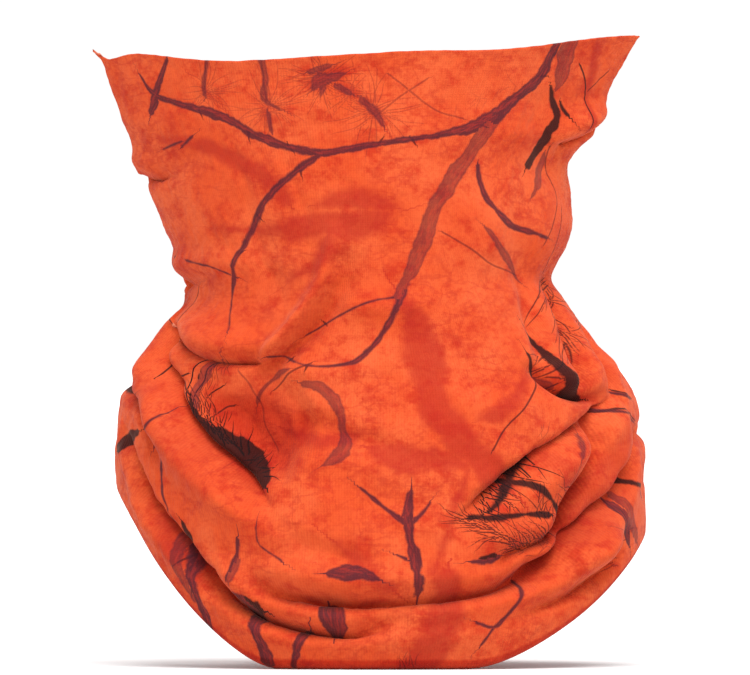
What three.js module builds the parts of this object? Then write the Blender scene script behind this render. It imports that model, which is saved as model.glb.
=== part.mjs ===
// Neck gaiter: a seamless tube of thin printed jersey, worn with its upper half drawn up over the
// face and its lower half scrunched into a collar of soft folds that sits over the shoulders.
//
// The cloth is one tube with two cut edges that curl. It is built as the sections that the tube
// makes when it is worn, from the bottom up: a curled bottom edge, three collar folds, the gather
// at the neck, the cheek section, the band across the nose and the curled top edge. Each section
// is a closed ring of cloth, open through the middle, that ends a small gap below the next.
//
// Millimetres, +Z up. The wearer faces -Y and +X is at the right of somebody who looks at the
// wearer. The origin is on the ground under the middle of the tube.
import * as THREE from 'three';
import { ParametricGeometry } from 'three/addons/geometries/ParametricGeometry.js';
import { mergeVertices } from 'three/addons/utils/BufferGeometryUtils.js';

// Driving dimensions
const OVERALL_HEIGHT = 252; // ground to the top edge
const TOP_HALF_WIDTH = 106; // middle of the tube to the crease at each end of the top edge
const TOP_HALF_DEPTH = 58; // middle of the tube to the cloth over the nose
const NECK_HALF_WIDTH = 76;
const NECK_HALF_DEPTH = 66;
const COLLAR_HALF_WIDTH = 99; // in the valleys between the folds
const COLLAR_HALF_DEPTH = 78;
const SIDE_LIFT = 54; // how far the bottom edge rises over the shoulders
const LOBE_SHARE = 0.35; // half the flat front lobe of the bottom edge, as a share of its half width
const LIFT_POWER = 1.8; // how late the edge rises towards the side
const SHOULDER_INSET = 0.35; // how far in the collar's top edge stands, from its valleys to the neck
const NECK_CREASE = 0.1; // how much of a side crease is left at the neck, where 1 is sharp
const FOLD_HEIGHT = 24;
const FOLD_BULGE = 8; // how far a fold stands out of its valleys
const NECK_RISE = 18; // side of the collar to the narrowest part of the neck
const BAND_HEIGHT = 26; // the band across the nose, without its curled edge
const WALL = 1.6; // cloth with its loft
const CURL_WIDTH = 6; // a curled cut edge, across the cloth
const CURL_HEIGHT = 4;
const GAP = 0.3; // between two sections

const FOLD_NAMES = ['collar_fold_lower', 'collar_fold_middle', 'collar_fold_upper'];

// Fineness of the faceted surfaces
const STEPS_AROUND = 56;
const FOLD_ROWS = 5;
const WALL_ROWS = 3;
const CURL_SIDES = 8;

const JERSEY = new THREE.Color(0xee5a33);
const JERSEY_SHADED = new THREE.Color(0xd64724);

// How far up towards the side a point of the bottom edge is, from 0 on the lobes to 1 at the sides.
function lift(angle) {
  const past = (Math.abs(Math.sin(angle)) - LOBE_SHARE) / (1 - LOBE_SHARE);
  return Math.max(0, past) ** LIFT_POWER;
}

// A level of the tube: an oval, or with lens = 1 two arcs that meet in a crease at each side.
function level(halfWidth, halfDepth, height, sideLift = 0, lens = 0) {
  return { halfWidth, halfDepth, height, sideLift, lens };
}

function levelPoint(at, angle, out, target) {
  const across = Math.sin(angle);
  const ahead = Math.cos(angle);
  const arc = (1 - at.lens) + at.lens * Math.abs(ahead);
  return target.set(
    (at.halfWidth + out) * across,
    -(at.halfDepth + out) * ahead * arc,
    at.height + at.sideLift * lift(angle),
  );
}

function mixLevels(a, b, t) {
  const mix = (from, to) => from + (to - from) * t;
  return level(
    mix(a.halfWidth, b.halfWidth),
    mix(a.halfDepth, b.halfDepth),
    mix(a.height, b.height),
    mix(a.sideLift, b.sideLift),
    mix(a.lens, b.lens),
  );
}

// A closed ring: section(t) gives the level and the outward offset of each point of its outline.
function ring(section, outlineSteps) {
  const place = (u, v, target) => {
    const { at, out } = section(Math.round(v * outlineSteps) % outlineSteps);
    levelPoint(at, 2 * Math.PI * (u % 1), out, target);
  };
  const geometry = new ParametricGeometry(place, STEPS_AROUND, outlineSteps);
  geometry.deleteAttribute('normal');
  geometry.deleteAttribute('uv');
  return mergeVertices(geometry, 1e-4);
}

// A ring of cloth from one level up to another. With a bulge it is a fold, whose outer face stands
// out by that much halfway up and whose gathered layers fill the ridge behind it.
function clothRing(bottom, top, bulge, rows) {
  const outer = rows + 1;
  return ring((step) => {
    const onOuterFace = step < outer;
    const row = onOuterFace ? step : 2 * outer - 1 - step;
    const t = row / rows;
    const outerOut = WALL / 2 + bulge * Math.sin(Math.PI * t);
    return { at: mixLevels(bottom, top, t), out: onOuterFace ? outerOut : -WALL / 2 };
  }, 2 * outer);
}

// A curled cut edge: a bead with a flat foot, whose foot stands at the level's height.
function curledEdge(at) {
  return ring((step) => {
    const turn = (2 * Math.PI * (step + 0.5)) / CURL_SIDES;
    const flat = 1 / Math.cos(Math.PI / CURL_SIDES);
    const rise = (CURL_HEIGHT / 2) * (1 + Math.sin(turn - Math.PI / 2) * flat);
    const out = (CURL_WIDTH / 2) * Math.cos(turn - Math.PI / 2) * flat;
    return { at: { ...at, height: at.height + rise }, out };
  }, CURL_SIDES);
}

function sectionMesh(name, geometry, colour, roughness) {
  const material = new THREE.MeshStandardMaterial({ color: colour, roughness, metalness: 0 });
  const mesh = new THREE.Mesh(geometry, material);
  mesh.name = name;
  return mesh;
}

// Levels from the ground up
const collarLevel = (height) => level(COLLAR_HALF_WIDTH, COLLAR_HALF_DEPTH, height, SIDE_LIFT);
const collarBase = CURL_HEIGHT + GAP;
const foldPitch = FOLD_HEIGHT + GAP;
const collarTop = collarBase + FOLD_NAMES.length * foldPitch;
const neckTop = collarTop + SIDE_LIFT + NECK_RISE;
const bandTop = OVERALL_HEIGHT - CURL_HEIGHT - GAP;
const bandBottom = bandTop - BAND_HEIGHT;

const shoulderLevel = mixLevels(
  collarLevel(collarTop),
  level(NECK_HALF_WIDTH, NECK_HALF_DEPTH, collarTop, SIDE_LIFT),
  SHOULDER_INSET,
);
const neckLevel = level(NECK_HALF_WIDTH, NECK_HALF_DEPTH, neckTop, 0, NECK_CREASE);
const topLevel = level(TOP_HALF_WIDTH, TOP_HALF_DEPTH, OVERALL_HEIGHT - CURL_HEIGHT, 0, 1);
const bandShare = (bandBottom - neckTop) / (bandTop - neckTop);
const bandLevel = mixLevels(neckLevel, { ...topLevel, height: bandTop }, bandShare);

function collarFolds() {
  return FOLD_NAMES.map((name, i) => {
    const low = collarLevel(collarBase + i * foldPitch);
    const last = i === FOLD_NAMES.length - 1;
    const high = last
      ? { ...shoulderLevel, height: collarTop - GAP }
      : collarLevel(low.height + FOLD_HEIGHT);
    return sectionMesh(name, clothRing(low, high, FOLD_BULGE, FOLD_ROWS), JERSEY, 0.85);
  });
}

function neckGather() {
  const high = { ...neckLevel, height: neckTop - GAP };
  return sectionMesh('neck_gather', clothRing(shoulderLevel, high, 0, WALL_ROWS), JERSEY, 0.85);
}

function cheekSection() {
  const high = { ...bandLevel, height: bandBottom - GAP };
  return sectionMesh('cheek_section', clothRing(neckLevel, high, 0, WALL_ROWS), JERSEY, 0.85);
}

function noseBand() {
  const high = { ...topLevel, height: bandTop };
  return sectionMesh('nose_band', clothRing(bandLevel, high, 0, WALL_ROWS), JERSEY, 0.85);
}

const gaiter = new THREE.Group();
gaiter.add(
  sectionMesh('bottom_edge_curl', curledEdge(collarLevel(0)), JERSEY_SHADED, 0.9),
  ...collarFolds(),
  neckGather(),
  cheekSection(),
  noseBand(),
  sectionMesh('top_edge_curl', curledEdge(topLevel), JERSEY_SHADED, 0.9),
);

export default gaiter;
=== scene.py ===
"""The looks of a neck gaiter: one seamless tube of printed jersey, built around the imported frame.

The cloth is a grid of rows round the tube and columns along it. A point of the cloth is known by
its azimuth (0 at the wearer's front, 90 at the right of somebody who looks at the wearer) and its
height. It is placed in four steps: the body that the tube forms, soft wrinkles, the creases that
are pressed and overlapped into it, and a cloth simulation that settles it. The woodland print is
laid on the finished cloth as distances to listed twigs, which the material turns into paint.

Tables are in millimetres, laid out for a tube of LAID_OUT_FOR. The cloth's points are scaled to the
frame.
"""

import math
import random

import bpy
import numpy as np
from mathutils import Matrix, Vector, noise


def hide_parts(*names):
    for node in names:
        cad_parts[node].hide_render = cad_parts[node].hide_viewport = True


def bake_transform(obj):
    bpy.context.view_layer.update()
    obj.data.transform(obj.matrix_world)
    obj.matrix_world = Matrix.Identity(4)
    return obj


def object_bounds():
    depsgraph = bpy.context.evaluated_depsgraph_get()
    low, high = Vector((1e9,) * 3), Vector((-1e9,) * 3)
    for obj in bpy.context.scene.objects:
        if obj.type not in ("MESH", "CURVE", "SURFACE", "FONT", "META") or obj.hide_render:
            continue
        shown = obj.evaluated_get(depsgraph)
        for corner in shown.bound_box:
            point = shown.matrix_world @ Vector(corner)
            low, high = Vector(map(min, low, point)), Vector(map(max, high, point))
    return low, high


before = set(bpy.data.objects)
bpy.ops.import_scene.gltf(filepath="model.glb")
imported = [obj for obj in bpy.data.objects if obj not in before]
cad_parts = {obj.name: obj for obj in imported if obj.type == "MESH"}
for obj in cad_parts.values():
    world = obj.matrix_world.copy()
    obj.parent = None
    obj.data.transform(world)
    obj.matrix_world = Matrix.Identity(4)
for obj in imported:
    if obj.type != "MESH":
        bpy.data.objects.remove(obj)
cad_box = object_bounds()

MM = 0.001
LAID_OUT_FOR = Vector((109.0, 86.4, 252.0))  # half width, half depth and height of the frame
FRAME_SIZE = Vector((cad_box[1][0], cad_box[1][1], cad_box[1][2]))
UNIT = [FRAME_SIZE[i] / LAID_OUT_FOR[i] for i in range(3)]  # metres for each millimetre laid out

# ---------------------------------------------------------------- the body of the tube

# Height, half width at the left and right, depth to the front and back, and how sharp the
# creases at the two sides are, from 0 for an oval to 1 for two arcs that meet in an edge.
BODY = np.array([
    (0, 92, 97, 83, 76, 0.0),
    (30, 102, 109, 86, 77, 0.0),
    (45, 104.5, 110, 85.5, 77.5, 0.0),
    (60, 105.5, 108.5, 84, 78, 0.0),
    (76, 106.5, 108, 80, 78, 0.0),
    (92, 105.5, 107.5, 77, 76, 0.0),
    (104, 104.5, 106, 73.5, 74.6, 0.0),
    (111, 103, 104, 71.4, 73.8, 0.0),
    (116, 98, 101, 69.6, 73, 0.0),
    (122, 96.5, 97, 67.8, 71.8, 0.0),
    (130, 92, 89, 66, 70, 0.02),
    (138, 86, 82.5, 65, 69, 0.05),
    (150, 77.5, 74.5, 64, 67, 0.08),
    (157, 78.5, 70, 63.4, 66, 0.1),
    (164, 83.5, 72.5, 62.8, 65.5, 0.15),
    (170, 83, 76, 62.5, 65, 0.2),
    (177, 86, 78, 62, 64, 0.25),
    (192, 92.5, 78, 61, 62, 0.45),
    (206, 96.5, 78.5, 60, 60, 0.6),
    (211, 99.5, 82, 59.6, 59.4, 0.65),
    (216, 101.5, 87.5, 59.3, 58.6, 0.7),
    (222, 104.5, 89.5, 59, 58, 0.76),
    (229, 106.5, 90.5, 58.5, 57.5, 0.84),
    (237, 109, 95, 58, 57, 0.9),
    (256, 113, 105, 58, 56, 1.0),
], float)

# The bottom edge hangs in a lobe at the front and back and rises over the shoulders:
# rise at the side, half the lobe's width as a share of the tube's, and how late the edge rises.
LEFT_SHOULDER = (68.0, 0.45, 1.85)
RIGHT_SHOULDER = (49.5, 0.38, 1.95)

# Height of the top edge round the tube, by azimuth.
TOP_EDGE = [
    (-180, 248), (-135, 246), (-93, 248.5), (-90, 251), (-87, 249), (-60, 248.7), (-32, 245.2),
    (-12, 246.9), (8, 249), (28, 249.8), (60, 255.2), (90, 256), (120, 252), (150, 249), (180, 248),
]
TOP_CURL = 0.9  # how far the cut edge at the top leans out
CORNER_CURL = 3.5  # how much further at the left corner
CURL_HEIGHT = 2.5

HEM_RADIUS = 5.0  # of the fold where the cloth turns under at the bottom
HEM_DEPTH = 34.0  # how far the turned cloth runs back up inside
HEM_LEAN = 0.12  # how far it leans in for each millimetre of that
HEM_SWAY = 1.5

# The cloth itself, in metres
CLOTH_THICKNESS = 0.0007
CLOTH_ROUND = 0.5  # round the tube, laid flat
ROUND_RADIUS = CLOTH_ROUND / (2 * math.pi)
WALE = 0.0009  # between two columns of stitches
COURSE = 0.0007  # between two rows of stitches

# Points of the grid round the tube, and along it outside and inside the bottom fold
COLUMNS = 264
ROWS = 156
HEM_ROWS = 24


def through(x, knots, values):
    """A smooth curve through (knots, values), read at x."""
    knots, values = np.asarray(knots, float), np.asarray(values, float)
    slopes = np.gradient(values, knots)
    x = np.clip(x, knots[0], knots[-1])
    i = np.clip(np.searchsorted(knots, x) - 1, 0, len(knots) - 2)
    step = knots[i + 1] - knots[i]
    t = (x - knots[i]) / step
    return (
        values[i] * (1 + 2 * t) * (1 - t) ** 2
        + values[i + 1] * t * t * (3 - 2 * t)
        + step * (slopes[i] * t * (1 - t) ** 2 + slopes[i + 1] * t * t * (t - 1))
    )


def half_width(azimuth, height):
    """The body's half width on the side of the azimuth."""
    left = through(height, BODY[:, 0], BODY[:, 1])
    right = through(height, BODY[:, 0], BODY[:, 2])
    return np.where(np.sin(azimuth) < 0, left, right)


def body_point(azimuth, height, out):
    """Points of the tube, in laid out millimetres, out millimetres proud of its body."""
    width = half_width(azimuth, height)
    front = through(height, BODY[:, 0], BODY[:, 3])
    back = through(height, BODY[:, 0], BODY[:, 4])
    crease = through(height, BODY[:, 0], BODY[:, 5])
    across, ahead = np.sin(azimuth), np.cos(azimuth)
    depth = np.where(ahead > 0, front, back)
    arc = (1 - crease) + crease * np.abs(ahead)
    x = (width + out) * across
    y = -(depth + out) * ahead * arc
    return np.stack([x, y, height], -1)


def bottom_edge(azimuth):
    """Height of the lowest point of the cloth."""
    across = np.sin(azimuth)

    def rise(shoulder):
        lift, lobe, lateness = shoulder
        past = np.clip((np.abs(across) - lobe) / (1 - lobe), 0, None)
        return lift * past**lateness

    return np.where(across < 0, rise(LEFT_SHOULDER), rise(RIGHT_SHOULDER))


def fold_line(azimuth):
    """Height at which the cloth starts to turn under."""
    return bottom_edge(azimuth) + HEM_RADIUS


def top_edge(azimuth):
    knots, values = zip(*TOP_EDGE)
    return through(np.degrees(azimuth), knots, values)


# ---------------------------------------------------------------- lines on the cloth


def seen(points):
    """Lines given as (x, height, ...) the way they look from the front, as (azimuth, height, ...)."""
    points = np.array(points, float)
    side = np.where(points[:, 0] < 0, -math.pi / 2, math.pi / 2)
    width = half_width(side, points[:, 1])
    points[:, 0] = np.arcsin(np.clip(points[:, 0] / width, -1, 1))
    return points


def around(points):
    """Lines given as (azimuth in degrees, height, ...)."""
    points = np.array(points, float)
    points[:, 0] = np.radians(points[:, 0])
    return points


def eased(points, steps=4):
    """The same line with more points, on a smooth curve through the given ones."""
    if len(points) < 3:
        return points
    knots = np.arange(len(points))
    fine = np.linspace(0, len(points) - 1, (len(points) - 1) * steps + 1)
    return np.stack([through(fine, knots, points[:, k]) for k in range(points.shape[1])], -1)


class Spots:
    """Many points of the cloth, by azimuth and height, sorted so that those near a line are
    found quickly."""

    def __init__(self, azimuth, height):
        self.azimuth = azimuth
        self.height = height
        front = through(height, BODY[:, 0], BODY[:, 3])
        self.radius = 0.5 * (half_width(azimuth, height) + front)
        self.order = np.argsort(height, kind="stable")
        self.sorted_height = height[self.order]

    def near(self, line, reach):
        """The points within reach of a line's bounding box, and their azimuths beside it."""
        low, high = line[:, 1].min() - reach, line[:, 1].max() + reach
        first, last = np.searchsorted(self.sorted_height, (low, high))
        band = self.order[first:last]
        middle = 0.5 * (line[:, 0].min() + line[:, 0].max())
        span = 0.5 * (line[:, 0].max() - line[:, 0].min())
        offset = np.remainder(self.azimuth[band] - middle + math.pi, 2 * math.pi) - math.pi
        inside = np.abs(offset) < span + reach / self.radius[band]
        return band[inside], middle + offset[inside]

    def along(self, line, reach):
        """For the points within reach of a line: which they are, their signed distance to it,
        the line's other values beside them, the way across the line, and the run along it."""
        where, azimuth = self.near(line, reach)
        z = self.height[where]
        r = self.radius[where]
        x = azimuth * r
        best = np.full(len(where), 1e9)
        signed = np.full(len(where), 1e9)
        extra = np.zeros((len(where), line.shape[1] - 2))
        across = np.zeros((len(where), 2))
        run = np.zeros(len(where))
        done = 0.0
        for a, b in zip(line[:-1], line[1:]):
            dx, dz = (b[0] - a[0]) * r, b[1] - a[1]
            length = np.sqrt(dx * dx + dz * dz) + 1e-9
            from_x, from_z = x - a[0] * r, z - a[1]
            t = np.clip((from_x * dx + from_z * dz) / length**2, 0, 1)
            gap = np.hypot(from_x - t * dx, from_z - t * dz)
            side = np.sign(dx * from_z - dz * from_x)
            closer = gap < best
            best = np.where(closer, gap, best)
            signed = np.where(closer, gap * side, signed)
            run = np.where(closer, done + t * length, run)
            across[closer] = np.stack([-dz / length, dx / length], -1)[closer]
            extra[closer] = (a[2:] + t[:, None] * (b[2:] - a[2:]))[closer]
            done += float(length.mean()) if len(where) else 0.0
        keep = best < reach
        return where[keep], signed[keep], extra[keep], across[keep], run[keep]


# ---------------------------------------------------------------- creases

# How cloth rolls over a crease, by its overlap and the crease's width: how far it stands out, how
# far beside the line it does that most, over what width, and how far its slide reaches on the side
# that rolls and on the other.
ROLL_RISE = 0.8
ROLL_BESIDE = 1.6
ROLL_WIDTH = 1.2
ROLL_REACH = 1.7
ROLL_REACH_BELOW = 0.5

FOLD_SHADE_FROM = 2.5  # pressed in this far, the cloth starts to get painted fold shade
FOLD_SHADE_OVER = 8.0  # and over this much more its painted fold shade is whole
CREASE_FREE = 10.0  # creases fade out over this height above the bottom fold

# Each crease is a width, and a line of (x or azimuth, height, depth, overlap). Overlap is how far
# the cloth on the line's left hand rolls over it. Below 0 it is the cloth on the right hand.
SEEN_CREASES = [
    # the cowl's bottom, from the pocket at the left cheek down and round to the right side
    (5.0, [(-85, 135, 4, -3), (-90, 122, 8, -5), (-88, 109.5, 12, -7), (-82, 97.5, 15, -8),
           (-74, 87.5, 18, -8), (-64, 79, 17, -7), (-55, 72, 12, -4), (-46, 65, 5, -1), (-38, 57, 2, 0),
           (-30, 51, 2, 0), (-15, 44, 2, 0)]),
    # the valley under the cowl, which rises round the right side
    (4.5, [(-56, 37, 0, 0), (-46, 34, 6, 2), (-35, 31.5, 10, 4), (-20, 30, 11, 5), (-7, 29.5, 11, 5),
           (10, 29.5, 10, 4), (30, 31, 10, 4), (47, 34, 11, 4), (60, 38, 13, 1), (72, 42, 18, -4),
           (80, 49, 18, -6), (90, 60, 11, -5), (97, 69, 8, -3), (102, 82, 6, -3), (105, 92, 3, -1)]),
    # the long fold low on the left, which runs down under the front
    (4.0, [(-102, 94, 2, -1), (-99, 81, 5, -3), (-95, 70, 8, -4), (-89, 60, 9, -5), (-82, 51, 10, -5),
           (-75, 42, 12, -3), (-68, 36, 12, 0), (-59, 30, 11, 4), (-49, 24, 11, 5), (-38, 20, 11, 5),
           (-23, 17, 10, 5), (-10, 16, 7, 4), (6, 18, 2, 1), (16, 20, 0, 0)]),
    # the face cover's lower right edge, over the hollow beside the jaw
    (4.5, [(95, 104, 2, 1), (91, 101, 7, 4), (82, 93, 10, 6), (72, 86, 14, 8), (64, 81, 16, 8),
           (56, 75, 14, 7), (46, 68, 9, 5), (36, 61, 3, 1), (28, 56, 0, 0)]),
    (3.5, [(98, 108, 3, 1), (94, 101, 6, 3), (91, 93, 8, 3), (86, 78, 9, 4), (80, 67, 11, 4),
           (76, 59, 11, 3)]),
    (8.0, [(96, 100, 0, 0), (93, 90, 5, 0), (89, 78, 7, 0), (83, 66, 7, 0), (78, 58, 4, 0)]),
    (3.5, [(78, 58, 10, 0), (70, 54, 9, -3), (53, 49, 7, -3), (46, 44, 4, -1), (31, 40, 1, 0)]),
    # the bowl of the pocket
    (10.0, [(-80, 122, 2, 0), (-74, 110, 7, 0), (-64, 100, 11, 0), (-54, 91, 13, 0), (-45, 83, 9, 0),
            (-36, 75, 1, 0)]),
    (12.0, [(-64, 118, 1, 0), (-57, 108, 4, 0), (-47, 98, 5, 0), (-38, 89, 4, 0), (-30, 80, 0, 0)]),
    # loose layers at the outer left
    (3.5, [(-100, 122, 3, 1), (-97, 115.5, 6, 3), (-96, 106, 7, 3), (-91, 93, 5, 2), (-86, 82, 1, 0)]),
    # small folds low at the right and in the middle
    (4.5, [(54, 21, 1, 0), (65, 26, 5, 2), (74, 30, 7, 3), (85, 36, 7, 3), (93, 42, 5, 2),
           (99, 52, 1, 0)]),
    (3.0, [(-30, 23, 0, 0), (-12, 22, 2, 1), (2, 21, 3, 1), (14, 22, 0, 0)]),
    # the tuck at the left cheek
    (3.5, [(-83, 136, 5, 2), (-76, 130.5, 9, 6), (-65, 127, 9, 6), (-53, 126, 7, 4), (-45, 127, 1, 1)]),
    # the hollow at the right of the neck, and the gathers above it
    (4.0, [(94, 110, 3, 0), (86, 111, 11, -4), (78, 113, 14, -6), (72, 115, 9, -4), (64, 120, 3, -1)]),
    (4.0, [(68, 158, 1, 0), (71, 150, 4, 1), (75, 141, 7, 2), (80, 129, 9, 2), (83, 119, 11, 0)]),
    (3.0, [(85, 134, 3, 1), (89, 128, 5, 2), (93, 121, 5, 2), (96, 112, 3, 0)]),
    (4.0, [(60, 152, 1, 0), (63, 140, 4, 0), (66, 130, 5, 0), (67, 121, 3, 0)]),
    # the side creases' wings end in darts
    (4.0, [(75, 212, 2, 1), (78, 214.5, 10, 6), (82, 217, 14, 9), (87, 219.5, 10, 7), (93, 222, 3, 3)]),
    (3.0, [(-96, 201, 6, 5), (-91, 200, 5, 4), (-86, 200, 2, 1), (-78, 198, 0, 0)]),
    (2.6, [(-84, 156.5, 4.5, 2.5), (-79, 156, 4, 2), (-73, 158, 2, 1), (-66, 160, 0, 0)]),
    # gentle pulls across the face cover
    (9.0, [(-50, 122, 1, 0), (-46, 110, 5, 0), (-38, 98, 4, 0), (-26, 92, 1, 0)]),
    (5.0, [(-34, 104, 0, 0), (-20, 97, 3.5, 0), (-6, 91, 3, 0), (8, 90, 1, 0), (20, 94, 0, 0)]),
    (4.5, [(-11, 172, 0, 0), (-14, 158, 3, 0), (-20, 145, 5, 0), (-28, 134, 6, 1), (-38, 125, 5, 2),
           (-46, 121, 3, 1), (-52, 118, 0, 0)]),
    (4.5, [(-48, 118, 0, 0), (-36, 110, 2.5, 0), (-30, 98, 2.5, 0), (-32, 86, 0, 0)]),
    (8.0, [(-62, 196, 0, 0), (-50, 178, 2, 0), (-44, 160, 2.5, 0), (-46, 142, 1, 0)]),
    (8.0, [(62, 196, 0, 0), (56, 176, 2, 0), (58, 158, 2, 0), (62, 142, 1, 0)]),
    (6.0, [(70, 236, 0, 0), (66, 222, 2, 0), (67, 205, 2, 0), (70, 190, 0, 0)]),
    (7.0, [(-22, 74, 0, 0), (0, 68, 2, 0), (20, 66, 2, 0), (36, 74, 0, 0)]),
    (6.0, [(96, 98, 0, 0), (76, 86, 0, 0), (60, 92, 2, 0), (46, 104, 1, 0)]),
]

# Soft ridges, as creases whose depth is below 0
SEEN_RIDGES = [
    (3.2, [(-51, 125, 0, 0), (-45, 128, -5, 0), (-36, 136, -7, 0), (-27, 148, -6.5, 0),
           (-21, 160, -5, 0), (-18, 172, -3, 0), (-17, 181, 0, 0)]),
    (5.0, [(-22, 150, 0, 0), (-10, 147, -2, 0), (8, 146, -2.5, 0), (24, 150, 0, 0)]),
    (5.0, [(-40, 122, 0, 0), (-24, 119, -2, 0), (-6, 121, -2, 0), (8, 128, 0, 0)]),
    (6.0, [(24, 118, 0, 0), (38, 108, -2, 0), (50, 104, -1.5, 0), (62, 108, 0, 0)]),
    (8.0, [(-72, 78, 0, 0), (-58, 66, -3, 0), (-42, 58, -3, 0), (-26, 50, -1, 0)]),
    (6.0, [(-66, 22, 0, 0), (-48, 14, -2.5, 0), (-20, 8, -3, 0), (10, 8, -3, 0), (40, 12, -2, 0)]),
    (6.0, [(64, 46, 0, 0), (80, 44, -3, 0), (90, 48, -3, 0), (98, 56, 0, 0)]),
    (7.0, [(88, 70, -1, 0), (95, 80, -3, 0), (99, 92, -3, 0), (98, 104, -1, 0)]),
    (6.0, [(-4, 30, 0, 0), (16, 28, -2.5, 0), (40, 27, -2.5, 0), (60, 31, -1, 0)]),
]

# The back of the collar, by azimuth
BACK_CREASES = [
    (5.0, [(82, 93, 2, 0), (100, 97, 7, -3), (118, 88, 10, -5), (140, 70, 11, -5), (162, 55, 10, -3),
           (185, 50, 9, 2), (208, 56, 10, 4), (228, 74, 11, 5), (246, 94, 9, 4), (262, 112, 5, 2),
           (272, 122, 2, 0)]),
    (4.5, [(96, 62, 1, 0), (112, 56, 6, 3), (132, 40, 8, 4), (155, 25, 9, 4), (180, 22, 8, 3),
           (204, 27, 9, -3), (226, 44, 10, -4), (244, 64, 8, -3), (260, 84, 5, -2), (268, 92, 2, 0)]),
    (5.0, [(88, 126, 2, 0), (104, 121, 7, 3), (128, 108, 10, 4), (152, 92, 10, 4), (176, 84, 9, 3),
           (200, 88, 9, 3), (222, 104, 9, 3), (244, 120, 7, 2), (262, 130, 3, 0)]),
    (4.0, [(118, 122, 0, 0), (134, 128, 5, 2), (156, 122, 7, 3), (180, 113, 5, 2), (200, 108, 0, 0)]),
    (4.0, [(196, 128, 0, 0), (216, 126, 5, 2), (236, 136, 5, 2), (252, 146, 1, 0)]),
    (4.0, [(102, 78, 0, 0), (116, 72, 5, 2), (130, 56, 4, 1), (144, 40, 0, 0)]),
    (4.0, [(212, 42, 0, 0), (230, 60, 4, -2), (244, 80, 4, -1), (256, 100, 0, 0)]),
    (8.0, [(120, 214, 0, 0), (134, 190, 2.5, 0), (150, 164, 2.5, 0), (164, 140, 0, 0)]),
    (8.0, [(236, 210, 0, 0), (224, 186, 2.5, 0), (214, 160, 2.5, 0), (200, 142, 0, 0)]),
    (7.0, [(160, 200, 0, 0), (178, 188, 1.5, 0), (196, 194, 0, 0)]),
]


def press(crease, width, spots, push, slide):
    """Adds one crease to the outward push and the sideways slide of every point of the cloth."""
    where, gap, extra, across, _ = spots.along(eased(crease), 4 * width)
    depth, overlap = extra[:, 0], extra[:, 1]
    rolling = np.where(overlap < 0, -1.0, 1.0)
    beyond = gap * rolling  # above 0 on the side that rolls over
    size = np.abs(overlap)
    roll = (beyond - ROLL_BESIDE * width) / (ROLL_WIDTH * width)
    push[where] -= depth * np.exp(-((gap / width) ** 2))
    push[where] += ROLL_RISE * size * np.exp(-(roll**2))
    fade = np.where(beyond > 0, ROLL_REACH * width, ROLL_REACH_BELOW * width)
    shift = -rolling * size * np.exp(-((beyond / fade) ** 2))
    slide[where, 0] += shift * across[:, 0] / spots.radius[where]
    slide[where, 1] += shift * across[:, 1]


def wrinkle(azimuth, height):
    """Small soft unevenness with faint valleys, stronger in the scrunched collar than over the face."""
    amount = 0.5 + 0.5 / (1 + np.exp((height - 120) / 12))
    out = np.zeros(len(azimuth))
    for k, (a, h) in enumerate(zip(azimuth, height)):
        x, y = 80 * math.sin(a), 80 * math.cos(a)
        broad = noise.noise(Vector((x / 34, y / 34, h / 22)))
        fine = noise.noise(Vector((x / 15 + 7, y / 15, h / 8)))
        valley = noise.noise(Vector((x / 24 + 3, y / 24, (h + 0.5 * x) / 34)))
        out[k] = 1.5 * broad + 0.6 * fine + 3.2 * min(math.hypot(valley, 0.04), 0.3)
    return out * amount


def creased(azimuth, height):
    """How far each point of the cloth is pushed out, and how far it slides round and up."""
    push = wrinkle(azimuth, height)
    slide = np.zeros((len(push), 2))
    spots = Spots(azimuth, height)
    for width, points in SEEN_CREASES + SEEN_RIDGES:
        press(seen(points), width, spots, push, slide)
    for width, points in BACK_CREASES:
        press(around(points), width, spots, push, slide)
    return push, slide


def top_curl(azimuth, height):
    below = (top_edge(azimuth) - height) / CURL_HEIGHT
    corner = np.exp(-(((np.degrees(azimuth) + 90) / 4) ** 2))
    return (TOP_CURL + CORNER_CURL * corner) * np.exp(-below)


def outer_cloth(azimuth, height):
    """The points of the cloth above the bottom fold, and how deep in a fold each is, from 0 to 1."""
    push, slide = creased(azimuth, height)
    # painted fold shade: the deeper a point is pressed in, the more its colour is darkened for the shade in
    # the fold
    hollow = np.clip((-push - FOLD_SHADE_FROM) / FOLD_SHADE_OVER, 0, 1)
    free = np.minimum(1, (height - fold_line(azimuth)) / CREASE_FREE)
    push = push * free + top_curl(azimuth, height)
    slide *= free[:, None]
    return body_point(azimuth + slide[:, 0], height + slide[:, 1], push), hollow


def turned_under(azimuths):
    """The cloth below the bottom fold, from its free end inside the collar down to the fold."""
    run = np.linspace(HEM_DEPTH + HEM_RADIUS * math.pi, 0, HEM_ROWS, endpoint=False)
    azimuth, run = np.meshgrid(azimuths, run)
    azimuth, run = azimuth.ravel(), run.ravel()
    low = fold_line(azimuth)
    turn = np.clip(run / HEM_RADIUS, 0, math.pi)
    inside = np.clip(run - HEM_RADIUS * math.pi, 0, None)
    out = -HEM_RADIUS * (1 - np.cos(turn)) - HEM_LEAN * inside
    height = low - HEM_RADIUS * np.sin(turn) + inside
    sway = HEM_SWAY * np.sin(5 * azimuth + 1) * np.minimum(1, inside / 12)
    points = body_point(azimuth, np.maximum(low, height), out + sway)
    points[:, 2] = height
    return points


def grid_faces():
    """The faces between neighbouring rows and columns, closed round the tube."""
    rows = ROWS + HEM_ROWS
    index = np.arange(rows * COLUMNS).reshape(rows, COLUMNS)
    right = np.roll(index, -1, axis=1)
    return np.stack([index[:-1], right[:-1], right[1:], index[1:]], -1).reshape(-1, 4)


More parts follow.
